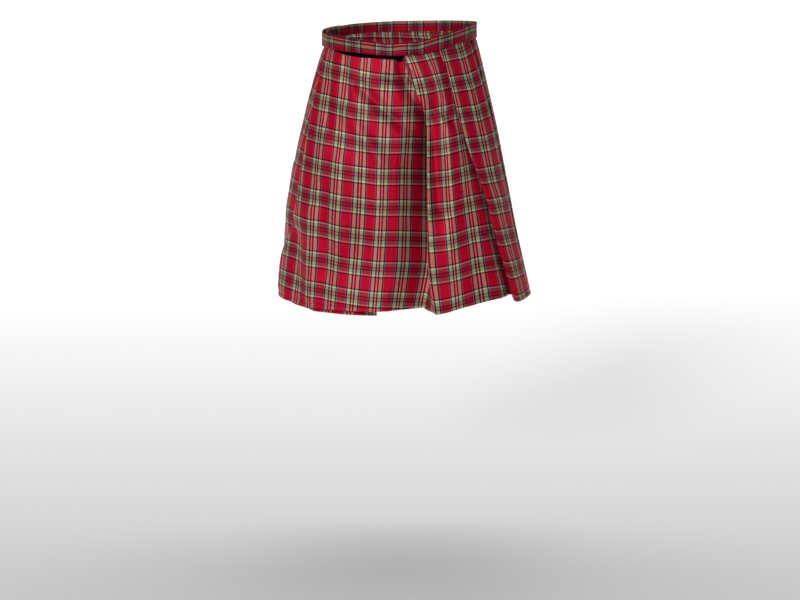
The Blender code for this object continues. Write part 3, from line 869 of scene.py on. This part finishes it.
# The strip's section from the turned-in edge at the bottom, up the face, over the fold and down
# the back, as (share of the height, height beyond it, offset outward)
band_section = [(0.0, height, share * half_wall) for height, share in BAND_EDGE_ROLL]
for row in range(FACE_ROWS + 1):
    share = row / FACE_ROWS
    band_section.append((share, BAND_FACE_START - (BAND_FACE_START + half_wall) * share, half_wall))
for row in range(1, FOLD_ROWS + 1):
    angle = math.pi * row / FOLD_ROWS
    band_section.append((1.0, half_wall * (math.sin(angle) - 1), half_wall * math.cos(angle)))
for row in range(1, BACK_ROWS + 1):
    share = 1 - row / BACK_ROWS
    band_section.append((share, BAND_BACK_START - (BAND_BACK_START + half_wall) * share, -half_wall))
wander = RIPPLE_WANDER * np.sin(RIPPLE_WANDER_RATE * band_s)
ripple = BAND_RIPPLE * np.sin(2 * math.pi * band_s / BAND_RIPPLE_LENGTH + wander)
band_rows, band_threads = [], []
for share, beyond, out in band_section:
    x, y = waist.place(band_s, band_n + out + ripple * math.sin(math.pi * share))
    band_rows.append(np.stack((x, y, band_low + band_height * share + beyond), axis=1))

# The strip is cut along the cloth's length, so its height runs across the warp
across = np.zeros_like(band_s)
for number, row in enumerate(band_rows):
    if number > 0:
        across = across - np.linalg.norm(row - band_rows[number - 1], axis=1)
    band_threads.append(np.stack((across, band_s + BAND_THREAD_SHIFT), axis=1))
top_row = len(BAND_EDGE_ROLL) + FACE_ROWS
to_the_top = band_threads[top_row][:, 0].copy()
for row in band_threads:
    row[:, 0] += BAND_TOP_THREAD - to_the_top
band = cloth_sheet("tartan_waistband_painted_shade", band_rows, band_threads, SHELL)
# The waistband gets a darker copy of the tartan: painted shade over the whole band
band.data.materials.append(tartan("tartan_waistband_painted_shade", BAND_PAINTED_SHADE_SCALE))
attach(band, "root")
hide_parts("waistband")
stitch_x, stitch_y = waist.place(band_s, band_n + half_wall + SHELL / 2)
stitch_line = np.stack((stitch_x, stitch_y, band_low + BAND_STITCH_HEIGHT), axis=1)
band_stitches = laid_along(
    "waistband_stitches", stitch_line, outward_of(stitch_line), STITCH_LENGTH, STITCH_GAP, STITCH_SIZE)
band_stitches.data.materials.append(thread)
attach(band_stitches, "root")


# ------------------------------------------------------------------------------------------------
# Hook-and-loop tape. Black woven tape: the loop half is sewn to the over-apron and shows in the
# slit under the slack waistband, ending in a small loose tuft, and the hook half is sewn inside
# the waistband.
# ------------------------------------------------------------------------------------------------

# How far the loop tape shows below the waistband, as (x, height)
SLIT = (
    (-0.128, 0.0020), (-0.117, 0.0055), (-0.097, 0.0078), (-0.076, 0.0085), (-0.052, 0.0071),
    (-0.029, 0.0064), (-0.008, 0.0067), (-0.0045, 0.0118), (0.0022, 0.0121), (0.0042, 0.0066),
    (0.008, 0.0030),
)
TAPE_REACH_UP = 0.013
LOOP_TAPE_OUT, LOOP_TAPE_WALL = 0.0015, 0.0012
HOOK_TAPE_OUT, HOOK_TAPE_WALL = 0.0030, 0.0010
TAPE_COLUMNS, TAPE_ROWS = 110, 8
LOOPS = 900.0
LOOP_HEIGHT = 0.0003

tape_black = bpy.data.materials.new("tape_black")
tape_black.use_nodes = True
tape_nodes, tape_links = tape_black.node_tree.nodes, tape_black.node_tree.links
tape_shader = tape_nodes["Principled BSDF"]
tape_place = tape_nodes.new("ShaderNodeTexCoord")
loops = tape_nodes.new("ShaderNodeTexNoise")
loops.inputs["Scale"].default_value = LOOPS
loops.inputs["Detail"].default_value = 2.0
tape_links.new(tape_place.outputs["Object"], loops.inputs["Vector"])
loop_shade = tape_nodes.new("ShaderNodeMapRange")
loop_shade.inputs["To Min"].default_value = 0.001
loop_shade.inputs["To Max"].default_value = 0.006
tape_links.new(loops.outputs["Fac"], loop_shade.inputs["Value"])
tape_links.new(loop_shade.outputs["Result"], tape_shader.inputs["Base Color"])
loop_bump = tape_nodes.new("ShaderNodeBump")
loop_bump.inputs["Strength"].default_value = 0.8
loop_bump.inputs["Distance"].default_value = LOOP_HEIGHT
tape_links.new(loops.outputs["Fac"], loop_bump.inputs["Height"])
tape_links.new(loop_bump.outputs[0], tape_shader.inputs["Normal"])
tape_shader.inputs["Roughness"].default_value = 1.0
tape_shader.inputs["Specular IOR Level"].default_value = 0.0


def below_band(x):
    """How far the loop tape reaches below the waistband's bottom edge."""
    return float(np.interp(x, *zip(*SLIT)))


def behind_band(x):
    """The same for the hook tape, which ends just above that edge all along."""
    return -SHELL


def tape_row(out, below):
    """A row of a tape, at a distance below the waistband's bottom edge that is given for each x."""
    row = []
    for x in np.linspace(TAPE_FROM_X, TAPE_TO_X, TAPE_COLUMNS):
        turn = float(waist.turn_at(waist.s_at_x(x)))
        top = float(band_bottom(turn))
        level = max(0.0, below(x) / (top - float(by_degrees(HEM, turn))))
        outline = Outline(level)
        place_x, place_y = outline.place(outline.s_at_x(x), out - sunk(turn, level))
        row.append([float(place_x), float(place_y), top - below(x)])
    return np.array(row)


for node, out, wall, lowest in (
        ("loop_tape", LOOP_TAPE_OUT, LOOP_TAPE_WALL, below_band),
        ("hook_tape", HOOK_TAPE_OUT, HOOK_TAPE_WALL, behind_band)):
    rows = []
    for k in range(TAPE_ROWS + 1):
        share = k / TAPE_ROWS
        rows.append(tape_row(out, lambda x: lowest(x) * (1 - share) - TAPE_REACH_UP * share))
    threads = [row[:, [0, 2]] for row in rows]
    tape = cloth_sheet("black_" + node, rows, threads, wall)
    tape.data.materials.append(tape_black)
    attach(tape, "root")
    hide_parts(node)


# ------------------------------------------------------------------------------------------------
# Studio: a pale floor without a visible end, a broad soft key light from the front left, a large
# soft light over the floor behind, and the camera a little above the waist, looking down.
# ------------------------------------------------------------------------------------------------

FLOOR_Z = -1.03
FLOOR_REACH = 60.0
FLOOR_WHITE = (0.86, 0.86, 0.86, 1.0)
KEY_ELEVATION = 20
KEY_AZIMUTH = -21
KEY_STRENGTH = 1.44
KEY_SOFTNESS = 16
SURROUND_STRENGTH = 0.08
BACKGROUND_POWER = 2900
BACKGROUND_SPREAD = 124
BACKGROUND_SIZE = (24.0, 30.0)
BACKGROUND_PLACE = (0.0, 15.6, 5.0)
CAMERA_PLACE = (0.0, -4.5, 0.30)
CAMERA_TILT = 10.51
CAMERA_LENS = 101.25
SENSOR_WIDTH = 36.0

studio_white = bpy.data.materials.new("studio_white")
studio_white.use_nodes = True
studio_shader = studio_white.node_tree.nodes["Principled BSDF"]
studio_shader.inputs["Base Color"].default_value = FLOOR_WHITE
studio_shader.inputs["Roughness"].default_value = 0.9
floor_grid = bmesh.new()
bmesh.ops.create_grid(floor_grid, x_segments=1, y_segments=1, size=FLOOR_REACH)
bmesh.ops.translate(floor_grid, verts=floor_grid.verts, vec=(0, 0, FLOOR_Z))
floor_mesh = bpy.data.meshes.new("floor")
floor_grid.to_mesh(floor_mesh)
floor_grid.free()
floor_mesh.materials.append(studio_white)
floor = bpy.data.objects.new("floor", floor_mesh)
bpy.context.scene.collection.objects.link(floor)

surroundings = bpy.data.worlds.new("surroundings")
bpy.context.scene.world = surroundings
surroundings.use_nodes = True
surround_shader = surroundings.node_tree.nodes["Background"]
surround_shader.inputs["Color"].default_value = (1.0, 1.0, 1.0, 1.0)
surround_shader.inputs["Strength"].default_value = SURROUND_STRENGTH

key = bpy.data.lights.new("key", "SUN")
key.energy = KEY_STRENGTH
key.angle = math.radians(KEY_SOFTNESS)
key_lamp = bpy.data.objects.new("key", key)
key_lamp.rotation_euler = (math.radians(90 - KEY_ELEVATION), 0.0, math.radians(KEY_AZIMUTH))
bpy.context.scene.collection.objects.link(key_lamp)

background = bpy.data.lights.new("background", "AREA")
background.shape = "RECTANGLE"
background.size, background.size_y = BACKGROUND_SIZE
background.energy = BACKGROUND_POWER
background.spread = math.radians(BACKGROUND_SPREAD)
background_lamp = bpy.data.objects.new("background", background)
background_lamp.location = BACKGROUND_PLACE
bpy.context.scene.collection.objects.link(background_lamp)

camera_data = bpy.data.cameras.new("camera")
camera_data.sensor_width = SENSOR_WIDTH
camera_data.lens = CAMERA_LENS
camera = bpy.data.objects.new("camera", camera_data)
camera.location = CAMERA_PLACE
camera.rotation_euler = (math.radians(90 - CAMERA_TILT), 0.0, 0.0)
bpy.context.scene.collection.objects.link(camera)
bpy.context.scene.camera = camera
bpy.context.scene.view_settings.view_transform = "Standard"
